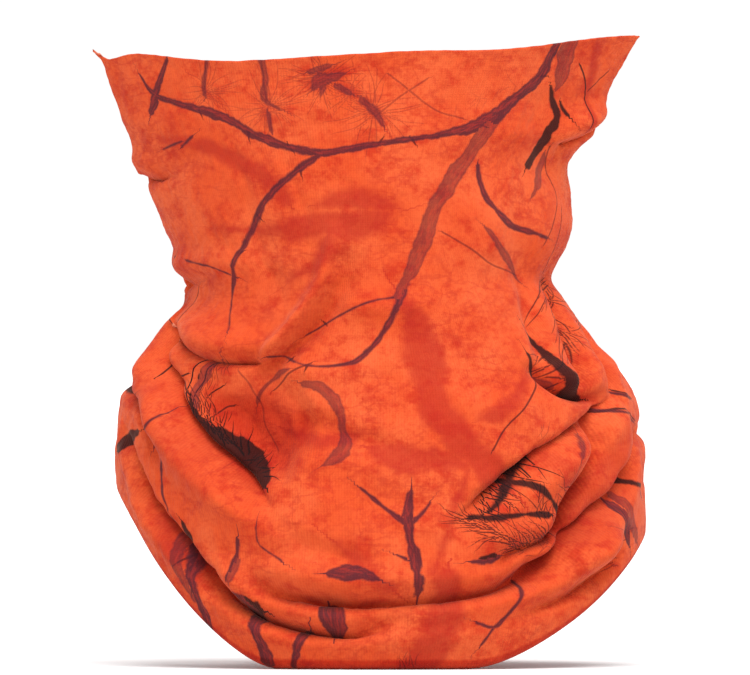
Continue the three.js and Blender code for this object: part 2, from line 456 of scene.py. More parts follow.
def cloth_grid():
    """The cloth's points in metres, the azimuth and flat height of each in radians and laid out
    millimetres, and how deep in a fold it is. The rows start at the cloth's free end inside."""
    azimuths = np.radians(np.arange(COLUMNS) * 360 / COLUMNS - 180)
    azimuth, share = np.meshgrid(azimuths, np.linspace(0, 1, ROWS))
    azimuth, share = azimuth.ravel(), share.ravel()
    low = fold_line(azimuth)
    height = low + (top_edge(azimuth) - low) * share
    outer, hollow = outer_cloth(azimuth, height)

    hem = turned_under(azimuths)
    run = np.linspace(-HEM_DEPTH - HEM_RADIUS, 0, HEM_ROWS, endpoint=False)
    hem_height = fold_line(azimuths) + run[:, None]
    points = np.vstack([hem, outer]) * UNIT
    azimuth = np.concatenate([np.tile(azimuths, HEM_ROWS), azimuth])
    height = np.concatenate([hem_height.ravel(), height])
    # the cloth turned under inside the collar gets whole painted fold shade
    return points, azimuth, height, np.concatenate([np.ones(len(hem)), hollow])


# ---------------------------------------------------------------- the print

# Twigs as lines of (x, height, half width)
SEEN_TWIGS = [
    [(-96, 240, 0.4), (-90, 232, 1.3), (-76, 227, 1.6), (-61, 222, 1.8), (-47, 214, 1.8),
     (-24, 208, 1.8), (-10, 210, 1.4), (9, 213, 1.4), (29, 216, 1.6), (44, 221, 3), (55, 230, 2.5),
     (65, 239, 2.4), (72, 253, 2)],
    [(-24, 207, 1.2), (-36, 198, 1.2), (-46, 188, 1.2), (-53, 174, 1.2), (-58, 158, 1), (-59, 148, 0.5),
     (-59, 137, 0.4)],
    [(-57, 158, 0.5), (-67, 162, 0.4), (-77, 165, 0.4)],
    [(48, 224, 2.2), (43, 217, 1.4), (37, 207, 0.6), (29, 195, 0.5), (22, 184, 1.6), (20, 174, 1.5),
     (15, 162, 1.4), (9, 150, 1.4), (3, 137, 1.1), (-5, 127, 0.9), (-12, 123, 0.6), (-28, 122, 0.5),
     (-44, 126, 0.4)],
    [(9, 150, 0.6), (-3, 148, 0.5), (-16, 142, 0.4), (-30, 134, 0.4)],
    [(40, 203, 0.8), (42, 194, 1.2), (46, 187, 1.2), (55, 179, 1.2), (68, 174, 0.6)],
    [(-92, 225, 1.6), (-89, 235, 1.6), (-85, 246, 0.8)],
    [(-79, 211, 0.6), (-75, 215, 0.6)],
    [(-87, 210, 0.4), (-79, 213, 0.4)],
    [(16, 35, 2), (14, 48, 2), (12, 60, 1.8), (13, 71, 1)],
    [(11, 59, 1.2), (4, 64, 0.8), (-7, 73, 0.6)],
    [(13, 59, 1), (18, 63, 0.7), (21, 67, 0.6)],
    [(13, 44, 0.6), (8, 46, 0.6)],
    [(-98, 82, 0.8), (-92, 65, 1), (-83, 52, 1.2), (-76, 37, 1.8), (-70, 23, 1.8), (-66, 12, 1.2)],
    [(-84, 60, 1.2), (-81, 48, 1.3), (-76, 37, 1.6)],
    [(-87, 83, 1), (-87, 73, 0.8), (-85, 64, 0.6)],
    [(-57, 33, 1), (-51, 27, 3), (-48, 15, 2.2), (-44, 3, 2.6)],
    [(-29, 18, 1.8), (-32, 10, 1.8), (-34, 2, 1.6)],
    [(-56, 52, 0.8), (-57, 44, 1.2), (-58, 38, 1)],
    [(-48, 57, 0.4), (-47, 50, 0.5), (-38, 44, 0.4)],
    [(-19, 26, 4.4), (-17, 21, 4), (-17, 17, 2.8)],
    [(-19, 40, 1), (-12, 40, 2.6), (-6, 40, 2.2), (0, 38, 0.8)],
    [(59, 36, 1), (57, 30, 0.6), (52, 22, 1), (46, 17, 0.8), (39, 19, 0.5)],
    [(47, 18, 0.8), (44, 14, 0.6), (41, 10, 0.8)],
    [(-88, 99, 0.4), (-90, 94, 1), (-91, 90, 0.6)],
    [(101, 74, 0.8), (104, 73, 1.2), (106, 69, 0.6)],
    [(97, 63, 2), (99, 56, 2.4), (101, 50, 1.2)],
    [(94, 100, 0.4), (99, 102, 0.5), (104, 99, 0.4)],
    [(97, 111, 0.6), (101, 109, 0.8)],
    [(37, 44, 0.8), (43, 45, 1.2), (48, 47, 0.8)],
]


# Near black bark and deep undergrowth
SEEN_INK = [
    [(-66, 126, 0.5), (-75, 118, 0.6), (-79, 109, 1.0), (-77, 101, 2.0), (-70, 94, 3.4), (-61, 87, 5.2),
     (-54, 80, 6), (-50, 76, 4)],
    [(-104, 88, 2.2), (-101, 92, 3), (-97, 95, 1.6)],
    [(-101, 113, 0.8), (-97, 111, 1.2)],
    [(-79, 58, 1.2), (-77, 53, 1.8)],
    [(-52, 30, 1.6), (-48, 28, 1.8)],
    [(70, 235, 0.6), (71, 229, 1.2), (73, 223, 2.0), (70, 216, 2.6), (66, 210, 2.8), (61, 204, 2.2)],
    [(74, 229, 0.6), (76, 224, 1.0)],
    [(78, 150, 1.0), (80, 144, 0.8)],
    [(62, 136, 1.0), (67, 130, 2.0), (73, 122, 2.8), (80, 115, 3.2), (86, 112, 2)],
    [(60, 127, 0.6), (66, 118, 1.0)],
    [(42, 60, 0.6), (48, 63, 0.6), (56, 70, 0.7), (63, 77, 0.7), (67, 80, 0.5)],
    [(38, 60, 1), (47, 60, 1), (58, 62, 0.8), (68, 62.5, 1.2)],
    [(54, 71, 0.6), (63, 71, 1.2), (70, 67, 1.0), (74, 61, 1.6), (75, 56, 1.4)],
    [(40, 45, 0.8), (46, 47, 1.2)],
    [(100, 74, 1.2), (104, 73, 1.4)],
]

# Faint red leaves and stems
SEEN_LEAVES = [
    [(-30, 115, 1.2), (-24, 113.5, 2), (-18, 109, 2.2), (-15, 102, 1.6), (-14.5, 96, 1.4), (-13.5, 91, 2.8),
     (-16, 86, 2.4), (-22, 82, 0.4)],
    [(44, 220, 3.4), (37, 208, 3.3), (29, 196, 3.2), (22, 184, 3), (19, 174, 3), (14, 162, 2.6),
     (8, 150, 2)],
    [(77, 256, 3.8), (76, 246, 3.8), (74, 238, 2.8), (72, 234, 0.6)],
    [(68, 208, 0.6), (67, 203, 2.2), (65, 197, 2.6), (63, 192, 1.4), (62, 190, 0.3)],
    [(43, 178, 0.3), (46, 175, 1.1), (51, 168, 1.4), (56, 161, 1), (59, 156, 0.3)],
    [(-68, 247, 0.6), (-70, 238, 0.7), (-70, 232, 1)],
    [(-47, 247, 1.2), (-45, 238, 1.2), (-46, 230, 1.2), (-40, 226, 0.8)],
    [(-16, 235, 1.2), (-11, 232, 0.8)],
    [(-6, 229, 1.4), (-1, 224, 1.2), (2, 219, 0.6)],
    [(-27, 241, 1), (-20, 243, 1)],
    [(-26, 234, 0.8), (-23, 237, 2.4), (-19, 238, 2.0), (-14, 240, 0.6)],
    [(-24, 241, 0.5), (-22, 236, 1.2), (-23, 231, 0.4)],
    [(-44, 224, 1), (-43, 217, 0.6)],
    [(66, 118, 1), (72, 117, 1.2)],
    [(99, 66, 2.4), (101, 58, 2.8), (104, 52, 2)],
    [(-84, 52, 1.2), (-80, 40, 1.8), (-74, 28, 1.6)],
    [(-56, 44, 1.2), (-57, 38, 1.6)],
    [(-53, 108, 1), (-48, 114, 0.8), (-41, 118, 1), (-35, 120, 0.5)],
    [(-77, 106, 1.2), (-76, 114, 2.4), (-71, 121, 2.6), (-65, 127, 1.8)],
    [(80, 83, 1), (84, 90, 0.6)],
]

# Soft shadows that the print has between the twigs: (x, height, half width)
SEEN_SHADES = [
    [(-25, 236, 2.5), (-20, 239, 3), (-14, 240, 1.5)],
    [(-13, 234, 1.5), (-10, 232, 2)],
    [(-45, 229, 1), (-44, 222, 1.5)],
    [(-70, 234, 1), (-68, 232, 1.5)],
    [(-5, 228, 2), (0, 222, 2)],
    [(-88, 214, 2), (-70, 211, 3), (-47, 200, 4), (-38, 190, 3)],
    [(-66, 178, 1), (-48, 177, 2), (-30, 178, 5), (-8, 180, 6), (8, 184, 2)],
    [(-24, 187, 2), (-10, 189, 5), (6, 186, 3)],
    [(9, 150, 3), (15, 141, 5), (19, 126, 7), (22, 108, 6.5), (30, 96, 6), (40, 86, 7), (52, 72, 6)],
    [(28, 36, 6), (25, 16, 7), (16, 0, 7)],
    [(-19, 175, 3), (-24, 165, 3), (-36, 156, 2)],
    [(-2, 88, 3), (10, 84, 5), (24, 84, 5), (36, 82, 3)],
    [(41, 93, 2), (31, 66, 2), (26, 50, 1.5), (22, 40, 1)],
    [(-16, 50, 2), (-6, 42, 3), (4, 36, 2)],
    [(-40, 96, 2), (-24, 92, 3), (-8, 94, 2)],
    [(88, 250, 3), (84, 232, 2), (80, 218, 1)],
    [(60, 118, 2), (50, 104, 3), (40, 100, 1)],
    [(-90, 60, 2), (-84, 48, 3), (-72, 34, 2)],
]

# Painted shade on the rolls and hollows of the collar, drawn like the print's soft shadows: (x, height,
# half width, darkness)
SEEN_PAINTED_ROLL_SHADES = [
    [(-97, 120, 4, 0.4), (-95, 106, 5, 0.4), (-89, 94, 5, 0.4), (-80, 83, 5, 0.4), (-68, 70, 4, 0.3)],
    [(99, 98, 3, 0.6), (97, 86, 5, 0.6), (90, 72, 6, 0.6), (82, 62, 5, 0.6), (72, 52, 3, 0.5)],
    [(82, 104, 3, 0.3), (92, 112, 4, 0.3), (96, 118, 3, 0.3)],
    [(70, 44, 3, 0.6), (84, 52, 4, 0.6), (95, 62, 4, 0.5), (102, 76, 3, 0.4)],
    [(62, 82, 3, 0.5), (74, 78, 4, 0.5), (80, 66, 4, 0.5)],
    [(-92, 44, 4, 0.3), (-80, 30, 4, 0.3), (-66, 16, 4, 0.3)],
]

# Where needles and grass grow: a line of (x, height), how many, their length, their direction
# in degrees (0 to the right, 90 up), how far it strays, their half width, and their darkness
SEEN_NEEDLES = [
    ([(-24, 238), (-20, 239)], 64, 18, 90, 180, 0.22, 0.5),
    ([(-12, 232), (-10, 233)], 26, 14, 90, 180, 0.2, 0.42),
    ([(-45, 227), (-44, 226)], 44, 18, 90, 180, 0.2, 0.42),
    ([(-70, 233), (-69, 232)], 34, 16, 90, 180, 0.2, 0.42),
    ([(-3, 226), (-1, 224)], 44, 20, 90, 180, 0.2, 0.46),
    ([(-77, 104), (-70, 96)], 18, 18, 92, 10, 0.2, 0.9),
    ([(-72, 98), (-58, 86)], 22, 13, 118, 14, 0.24, 1.0),
    ([(-62, 127), (-70, 122)], 20, 12, 236, 16, 0.2, 0.8),
    ([(-60, 88), (-48, 78)], 12, 7, 30, 35, 0.22, 1.0),
    ([(36, 60), (46, 55), (58, 51), (72, 56)], 80, 15, 168, 24, 0.24, 0.85),
    ([(42, 61), (54, 71), (68, 80)], 34, 10, 300, 50, 0.2, 1.0),
    ([(62, 64), (76, 60), (79, 74)], 44, 10, 110, 50, 0.24, 0.85),
    ([(67, 158), (72, 144), (80, 130)], 54, 20, 290, 30, 0.24, 0.85),
    ([(64, 130), (72, 118)], 10, 8, 200, 60, 0.2, 0.8),
    ([(78, 150), (84, 136)], 12, 12, 280, 15, 0.26, 0.9),
    ([(66, 98), (76, 94), (84, 100)], 22, 9, 262, 16, 0.15, 0.5),
    ([(-74, 92), (-62, 82)], 10, 8, 240, 20, 0.18, 0.6),
    ([(8, 2), (20, 2)], 9, 6, 95, 14, 0.22, 0.6),
    ([(58, 46), (74, 50)], 12, 7, 30, 40, 0.2, 0.5),
    ([(96, 40), (100, 56)], 10, 9, 200, 40, 0.22, 0.6),
    ([(30, 226), (60, 236)], 12, 8, 200, 60, 0.2, 0.25),
]

# Thin single lines: (x, height) and how dark each is
SEEN_THREADS = [
    (0.9, [(82, 244), (83.5, 232), (81, 222)]),
    (0.8, [(93, 242), (85, 234)]),
    (0.7, [(70, 211), (70.5, 197), (72, 189), (71, 181), (67, 171)]),
    (0.7, [(74, 186), (73.5, 178), (70, 168), (67, 160)]),
    (0.9, [(-81, 168), (-82, 160)]),
    (0.8, [(-72.5, 154), (-75, 146), (-79, 140), (-79.5, 133)]),
    (0.8, [(-77, 150), (-81, 143), (-82, 137)]),
    (0.6, [(26, 176), (38, 169), (46, 163), (57, 159)]),
    (0.8, [(65, 116), (60, 107), (51, 97), (46, 88)]),
    (0.9, [(-89, 121), (-83, 118), (-79, 119)]),
    (0.9, [(-90, 120), (-91, 115)]),
    (0.7, [(-45, 112), (-36, 118), (-26, 123)]),
    (1.0, [(-79, 105), (-80, 113), (-77, 121), (-69, 127)]),
    (1.0, [(-78, 103), (-76, 113), (-71, 121), (-62, 127)]),
    (0.9, [(-77, 101), (-73, 110), (-66, 114)]),
    (0.8, [(-74, 99), (-68, 105), (-64, 106)]),
    (0.9, [(-79, 110), (-82, 116)]),
    (0.9, [(97, 112), (102, 109)]),
    (0.9, [(94, 99), (99, 103.5), (104, 100)]),
    (0.6, [(-69, 247), (-70, 232)]),
    (0.5, [(-47, 247), (-45, 228)]),
    (0.5, [(-2, 222), (8, 230), (20, 238)]),
    (0.5, [(4, 240), (22, 226), (34, 222)]),
    (0.5, [(-58, 120), (-52, 108), (-52, 98), (-46, 88)]),
]


def bark_lines():
    """Twigs, ink and leaves as lines of (x, height, half width, darkness)."""
    for darkness, tables in ((1.0, SEEN_TWIGS), (2.0, SEEN_INK), (0.5, SEEN_LEAVES)):
        for points in tables:
            yield [(x, z, half, darkness) for x, z, half in points]


def shade_lines():
    for points in SEEN_SHADES:
        yield [(x, z, half, 1.0) for x, z, half in points]
    # then the painted shade on the collar's rolls
    yield from SEEN_PAINTED_ROLL_SHADES


def needles():
    """Every needle as a line of (x, height, half width, darkness), the same on each run."""
    chance = random.Random(7)
    for base, count, length, direction, stray, half, dark in SEEN_NEEDLES:
        ends = np.array(base, float)
        for _ in range(count):
            t = chance.random() * (len(ends) - 1)
            k = min(int(t), len(ends) - 2)
            x, z = ends[k] + (t - k) * (ends[k + 1] - ends[k])
            x += chance.gauss(0, 0.8)
            z += chance.gauss(0, 0.8)
            angle = math.radians(direction + stray * chance.uniform(-1, 1))
            bend = chance.uniform(-0.5, 0.5)
            reach = length * chance.uniform(0.4, 1.0)
            points = [(x, z, half, dark)]
            for step in (0.5, 1.0):
                turned = angle + bend * step
                tip = (x + reach * step * math.cos(turned), z + reach * step * math.sin(turned))
                points.append((*tip, half * (1.1 - step), dark))
            yield points


def thorns():
    """Short side shoots on the longer twigs."""
    chance = random.Random(3)
    for points in SEEN_TWIGS:
        for (x0, z0, half), (x1, z1, _) in zip(points[:-1], points[1:]):
            length = math.hypot(x1 - x0, z1 - z0)
            for _ in range(int(length / 15)):
                t = chance.random()
                x, z = x0 + t * (x1 - x0), z0 + t * (z1 - z0)
                side = chance.choice((-1, 1))
                angle = math.atan2(z1 - z0, x1 - x0) + side * chance.uniform(0.5, 1.3)
                reach = half + chance.uniform(0.6, 2.0)
                tip = (x + reach * math.cos(angle), z + reach * math.sin(angle))
                yield [(x, z, 0.5, 0.8), (*tip, 0.2, 0.8)]


def threads():
    """Thin single lines, all of one width."""
    for dark, points in SEEN_THREADS:
        yield [(x, z, 0.3, dark) for x, z in points]


def twice_round(tables):
    """The lines on the front, and again half a turn on, because the print repeats."""
    for points in tables:
        line = eased(seen(points))
        yield line
        again = line.copy()
        again[:, 0] += math.pi
        yield again


def store(mesh, name, kind, domain, values):
    """Adds an attribute to the mesh, with a value for each point or corner."""
    layer = mesh.attributes.new(name, kind, domain)
    field = "vector" if kind == "FLOAT_VECTOR" else "value"
    layer.data.foreach_set(field, np.asarray(values, np.float32).ravel())


def corners_of(mesh):
    """The point at each corner of each face. Every face of the cloth has 4."""
    corners = np.zeros(len(mesh.loops), np.int64)
    mesh.loops.foreach_get("vertex_index", corners)
    return corners.reshape(-1, 4)


def paint(name, lines, mesh, spots, reach):
    """Stores the nearest line to each face, at the face's corners, for the material to draw:
    signed distance, half width and run along it in metres, and its darkness."""
    corners = corners_of(mesh)
    faces_of = faces_round(corners, len(mesh.vertices))
    values = np.full((len(mesh.vertices), 4), np.nan)
    best = np.full(len(corners), reach)
    drawn = np.zeros((len(corners), 4, 4))
    drawn[..., 0] = reach
    for line in lines:
        where, gap, extra, _, run = spots.along(line, reach)
        values[where] = np.stack([gap, extra[:, 0], run, extra[:, 1]], -1)
        near = np.unique(faces_of[where])
        near = near[near >= 0]
        here = values[corners[near]]
        edge = (np.abs(here[..., 0]) - here[..., 1]).mean(axis=1)
        closer = edge < best[near]  # false wherever a corner is out of reach
        chosen = near[closer]
        best[chosen] = edge[closer]
        drawn[chosen] = here[closer]
        values[where] = np.nan
    store(mesh, name, "FLOAT_VECTOR", "CORNER", drawn[..., :3] * MM)
    store(mesh, name + "_tone", "FLOAT", "CORNER", drawn[..., 3])


def faces_round(corners, count):
    """The faces at each vertex, up to 4 in a row, with -1 where there are fewer."""
    flat = corners.ravel()
    order = np.argsort(flat, kind="stable")
    owner = order // 4
    vertex = flat[order]
    first = np.searchsorted(vertex, np.arange(count))
    place = np.arange(len(vertex)) - first[vertex]
    table = np.full((count, 4), -1)
    fits = place < 4
    table[vertex[fits], place[fits]] = owner[fits]
    return table


# ---------------------------------------------------------------- materials


LIT = 1.7  # how much brighter the studio light shows a colour than the cloth's own albedo


def paint_colour(red, green, blue):
    """The albedo of cloth that looks like an sRGB colour of 0 to 255 in the studio light."""
    def linear(value):
        value /= 255
        return value / 12.92 if value <= 0.04045 else ((value + 0.055) / 1.055) ** 2.4

    return (linear(red) / LIT, linear(green) / LIT, linear(blue) / LIT, 1.0)


class Tree:
    """Adds nodes to a material. Inputs are numbers, colours or the outputs of other nodes."""

    def __init__(self, name):
        self.material = bpy.data.materials.new(name)
        self.material.use_nodes = True
        self.tree = self.material.node_tree
        self.shader = self.tree.nodes["Principled BSDF"]

    def add(self, kind, inputs, output=0, **settings):
        node = self.tree.nodes.new("ShaderNode" + kind)
        for key, value in settings.items():
            setattr(node, key, value)
        for key, value in inputs.items():
            if isinstance(value, bpy.types.NodeSocket):
                self.tree.links.new(value, node.inputs[key])
            else:
                node.inputs[key].default_value = value
        return node.outputs[output]

    def vector(self, name):
        """A vector attribute of the cloth."""
        return self.add("Attribute", {}, 1, attribute_name=name)

    def value(self, name):
        return self.add("Attribute", {}, 2, attribute_name=name)

    def split(self, vector):
        """The three parts of a vector."""
        return self.add("SeparateXYZ", {0: vector}).node.outputs

    def maths(self, operation, a, b=0.0, c=0.0):
        return self.add("Math", {0: a, 1: b, 2: c}, operation=operation)

    def mix(self, share, a, b, how="MIX"):
        return self.add("Mix", {0: share, 6: a, 7: b}, 2, data_type="RGBA", blend_type=how)

    def shade(self, share, colour, tint):
        return self.mix(share, colour, tint, "MULTIPLY")

    def step(self, value, low, high, to=1.0):
        """A soft step from 0 where value is low, up to the last number where it is high."""
        inputs = {"Value": value, "From Min": low, "From Max": high, "To Max": to}
        return self.add("MapRange", inputs, interpolation_type="SMOOTHSTEP")

    def link(self, value, socket):
        self.tree.links.new(value, self.shader.inputs[socket])

    def noise(self, place, size, detail=3.0, stretch=(1, 1, 1), rough=0.55):
        scaled = self.add("VectorMath", {0: place, 1: stretch}, operation="MULTIPLY")
        inputs = {"Vector": scaled, "Scale": 1 / size, "Detail": detail, "Roughness": rough}
        return self.add("TexNoise", inputs)


ORANGE = paint_colour(243, 90, 42)
ORANGE_LIGHT = paint_colour(253, 108, 58)
ORANGE_DEEP = paint_colour(214, 54, 26)
SHADE = paint_colour(194, 40, 28)
BARK_LIGHT = paint_colour(160, 46, 46)
BARK = paint_colour(92, 34, 46)
INK = paint_colour(36, 12, 16)
REVERSE = paint_colour(244, 150, 118)
PAINTED_LOOP_SHADE = (0.9, 0.78, 0.74, 1.0)  # painted shade: what is left of a colour deep between two stitches
PAINTED_FOLD_SHADE = (0.72, 0.28, 0.26, 1.0)  # painted fold shade: what is left of a colour deep in a fold, for the shade there and the light that bounces between layers
FADED = 0.72  # how far the print is lost on the reverse side

# Where the paint of a line starts and is whole, in metres past the line's edge
SHADE_EDGE = (0.0022, -0.0026)
NEEDLE_EDGE = (0.00022, -0.0001)
TWIG_EDGE = (0.0005, -0.00045)

CLOTH_FINISH = {
    "Specular IOR Level": 0.12,
    "Sheen Weight": 0.1,
    "Sheen Roughness": 0.45,
    "Sheen Tint": (1.0, 0.62, 0.5, 1.0),
}


def ground(w, place):
    """The print's mottled orange, with veins like thin grain."""
    clouds = w.step(w.noise(place, 0.03, 3), 0.35, 0.68)
    colour = w.mix(clouds, ORANGE, ORANGE_LIGHT)
    blotches = w.step(w.noise(place, 0.011, 6, (1, 1, 1.3), 0.72), 0.46, 0.68, 0.85)
    colour = w.mix(blotches, colour, ORANGE_DEEP)
    for size, stretch, amount in ((0.026, (1, 1, 2.6), 0.32), (0.016, (1.8, 1.8, 1), 0.26)):
        level = w.noise(place, size, 4, stretch, 0.6)
        off = w.maths("ABSOLUTE", w.maths("SUBTRACT", level, 0.5))
        where = w.step(w.noise(place, 0.024, 1), 0.38, 0.56)
        vein = w.maths("MULTIPLY", w.step(off, 0.042, 0.002, amount), where)
        colour = w.mix(vein, colour, SHADE)
    speckle = w.step(w.noise(place, 0.0016, 2), 0.42, 0.66, 0.22)
    return w.mix(speckle, colour, ORANGE_DEEP)


class Line:
    """The nearest line that paint() stored: the signed distance to it, its half width, the run
    along it, its darkness, and the distance past its edge."""

    def __init__(self, w, name):
        self.gap, self.half, self.run = w.split(w.vector(name))
        self.tone = w.value(name + "_tone")
        self.past = w.maths("SUBTRACT", w.maths("ABSOLUTE", self.gap), self.half)


def with_shades(w, place, colour):
    # the print's soft shadows, and painted shade on the collar's rolls
    line = Line(w, "shade")
    inner = w.maths("SUBTRACT", line.past, 0.005)
    ragged = w.maths("MULTIPLY_ADD", w.noise(place, 0.012, 4), 0.010, inner)
    mask = w.maths("MULTIPLY", w.step(ragged, *SHADE_EDGE, 0.68), line.tone)
    return w.mix(mask, colour, SHADE)


def with_needles(w, colour):
    line = Line(w, "needle")
    mask = w.maths("MULTIPLY", w.step(line.past, *NEEDLE_EDGE), line.tone)
    return w.mix(mask, colour, w.mix(line.tone, BARK_LIGHT, INK))


def ragged_edge(w, place, line):
    """The distance past a twig's edge, once the edge is swollen and frayed."""
    fray = w.maths("SUBTRACT", w.noise(place, 0.0032, 4, (1, 1, 1), 0.7), 0.5)
    swell = w.maths("SUBTRACT", w.noise(place, 0.009, 2), 0.5)
    ragged = w.maths("MULTIPLY_ADD", swell, 1.8, w.maths("MULTIPLY", fray, 0.9))
    size = w.maths("MINIMUM", w.maths("ADD", line.half, 0.0002), 0.0022)
    return w.maths("MULTIPLY_ADD", ragged, size, line.past)


def bark_colour(w, line, rim):
    """Bark streaked along the twig, lighter on one side, dark at its rim, and black where inked."""
    along = w.add("CombineXYZ", {0: w.maths("MULTIPLY", line.gap, 5.0), 1: line.run})
    streak = w.noise(along, 0.006, 5, (1, 1, 0.2), 0.7)
    side = w.maths("DIVIDE", line.gap, w.maths("ADD", line.half, 0.0004))
    lit = w.maths("MULTIPLY_ADD", side, 0.11, streak)
    bark = w.mix(w.step(lit, 0.42, 0.62), BARK, BARK_LIGHT)
    bark = w.mix(rim, bark, BARK)
    return w.mix(w.step(line.tone, 0.9, 1.6), bark, INK)


def with_twigs(w, place, colour):
    line = Line(w, "twig")
    past = ragged_edge(w, place, line)
    rim = w.step(past, -0.0014, -0.0004, 0.8)
    whole = w.step(line.tone, 0.0, 0.8, 0.93)
    strength = w.maths("MAXIMUM", whole, w.maths("MULTIPLY", rim, 0.9))
    strength = w.maths("MULTIPLY", w.step(past, *TWIG_EDGE), strength)
    return w.mix(strength, colour, bark_colour(w, line, rim))


def knit_relief(w, place):
    """The height of the jersey's loops, with fuzz over them."""
    round_it, up, _ = w.split(w.vector("cloth_flat"))
    wale = w.maths("SINE", w.maths("MULTIPLY", round_it, 2 * math.pi / WALE))
    course = w.maths("SINE", w.maths("MULTIPLY", up, 2 * math.pi / COURSE))
    loops = w.maths("MULTIPLY_ADD", course, 0.35, wale)
    return w.maths("MULTIPLY_ADD", w.noise(place, 0.0009, 2), 1.6, loops)


def jersey(name, reverse):
    """Printed jersey, or its reverse side, on which the print shows through faded."""
    w = Tree(name)
    place = w.vector("cloth_shape")
    colour = with_shades(w, place, ground(w, place))
    colour = with_twigs(w, place, with_needles(w, colour))
    if reverse:
        colour = w.mix(FADED, colour, REVERSE)
    relief = knit_relief(w, place)
    # painted shade between the jersey's loops, darker where their relief is low
    colour = w.shade(w.step(relief, 0.9, -0.9, 0.6), colour, PAINTED_LOOP_SHADE)
    # painted fold shade: colour darkened and reddened deep in folds and inside the collar, for the shade
    # there and the light bounced between layers
    colour = w.shade(w.step(w.value("hollow"), 0.08, 1.0, 0.9), colour, PAINTED_FOLD_SHADE)
    uneven = w.step(w.noise(place, 0.004, 3), 0.3, 0.7)
    w.link(colour, "Base Color")
    w.link(w.add("Bump", {"Height": relief, "Strength": 0.28, "Distance": 0.0002}), "Normal")
    w.link(w.maths("MULTIPLY_ADD", uneven, 0.12, 0.8), "Roughness")
    for socket, value in CLOTH_FINISH.items():
        w.shader.inputs[socket].default_value = value
    return w.material


# ---------------------------------------------------------------- making the cloth


HOLD = 0.55  # how firmly the simulation holds the cloth near its shape, from 0 to 1
SPARE_CLOTH = 0.03  # share by which the cloth is larger than the shape that holds it
SETTLE_FRAMES = 14
SETTLE_CAP = 0.003  # the most that the simulation may move a point, in metres

# How far from a line the material still knows of it, in laid out millimetres
TWIG_REACH = 7.0
SHADE_REACH = 14.0
NEEDLE_REACH = 2.4


def link(name, data):
    obj = bpy.data.objects.new(name, data)
    bpy.context.scene.collection.objects.link(obj)
    return obj


def cloth_object():
    points, azimuth, height, hollow = cloth_grid()
    mesh = bpy.data.meshes.new("gaiter_cloth")
    mesh.from_pydata(points.tolist(), [], grid_faces().tolist())
    x, y = ROUND_RADIUS * np.sin(azimuth), ROUND_RADIUS * np.cos(azimuth)
    store(mesh, "cloth_place", "FLOAT_VECTOR", "POINT", np.stack([x, y, height * MM], -1))
    # hollow carries the painted fold shade to the material
    store(mesh, "hollow", "FLOAT", "POINT", hollow)
    return link("gaiter_cloth", mesh)


def bake(obj, modifier):
    """Makes a modifier's result the object's mesh."""
    with bpy.context.temp_override(object=obj, active_object=obj, selected_objects=[obj]):
        bpy.ops.object.modifier_apply(modifier=modifier.name)


def modify(obj, kind, **settings):
    modifier = obj.modifiers.new(kind, kind)
    for key, value in settings.items():
        setattr(modifier, key, value)
    bake(obj, modifier)


def hold(cloth):
    """The vertex group that holds the cloth: its two ends wholly, and the rest by HOLD."""
    count = len(cloth.data.vertices)
    first, last = COLUMNS * HEM_ROWS, count - COLUMNS
    held = cloth.vertex_groups.new(name="held")
    held.add(range(first), 1.0, "REPLACE")
    held.add(range(last, count), 1.0, "REPLACE")
    held.add(range(first, last), HOLD, "REPLACE")
    return held.name


def simulated(cloth):
    """Gives the object Blender's Cloth, as limp as thin jersey."""
    modifier = cloth.modifiers.new("settle", "CLOTH")
    knit = modifier.settings
    knit.quality = 6
    knit.mass = 0.15
    knit.tension_stiffness = 20
    knit.compression_stiffness = 20
    knit.shear_stiffness = 4
    knit.bending_stiffness = 0.02
    knit.vertex_group_mass = hold(cloth)
    knit.pin_stiffness = 1.0
    knit.shrink_min = -SPARE_CLOTH
    knit.effector_weights.gravity = 0.5
    modifier.collision_settings.use_collision = False
    modifier.collision_settings.use_self_collision = False
    modifier.point_cache.frame_start = 1
    modifier.point_cache.frame_end = SETTLE_FRAMES
    return modifier


def points_of(mesh):
    points = np.zeros(len(mesh.vertices) * 3)
    mesh.vertices.foreach_get("co", points)
    return points.reshape(-1, 3)


def settle(cloth):
    """Lets the cloth buckle as jersey does when it is pushed down, held near its shape."""
    before = points_of(cloth.data)
    modifier = simulated(cloth)
    scene = bpy.context.scene
    for frame_number in range(1, SETTLE_FRAMES + 1):
        scene.frame_set(frame_number)
    bake(cloth, modifier)
    scene.frame_set(1)
    move = points_of(cloth.data) - before
    size = np.linalg.norm(move, axis=1)
    move *= np.minimum(1, SETTLE_CAP / np.maximum(size, 1e-9))[:, None]
    cloth.data.vertices.foreach_set("co", (before + move).ravel())
    cloth.vertex_groups.clear()


def read_place(mesh):
    """Each point's azimuth and its height in millimetres on the flat cloth."""
    values = np.zeros(len(mesh.vertices) * 3, np.float32)
    mesh.attributes["cloth_place"].data.foreach_get("vector", values)
    values = values.reshape(-1, 3).astype(float)
    return np.arctan2(values[:, 0], values[:, 1]), values[:, 2] / MM


def store_flat(mesh, azimuth, height):
    """Coordinates of the flat cloth at each face's corners, in metres, with no jump in a face."""
    corners = corners_of(mesh)
    turn = azimuth[corners]
    jump = (turn.max(axis=1) - turn.min(axis=1)) > math.pi
    turn = np.where(jump[:, None] & (turn < 0), turn + 2 * math.pi, turn)
    flat = np.stack([turn * ROUND_RADIUS, height[corners] * MM, 0 * turn], -1)
    store(mesh, "cloth_flat", "FLOAT_VECTOR", "CORNER", flat)


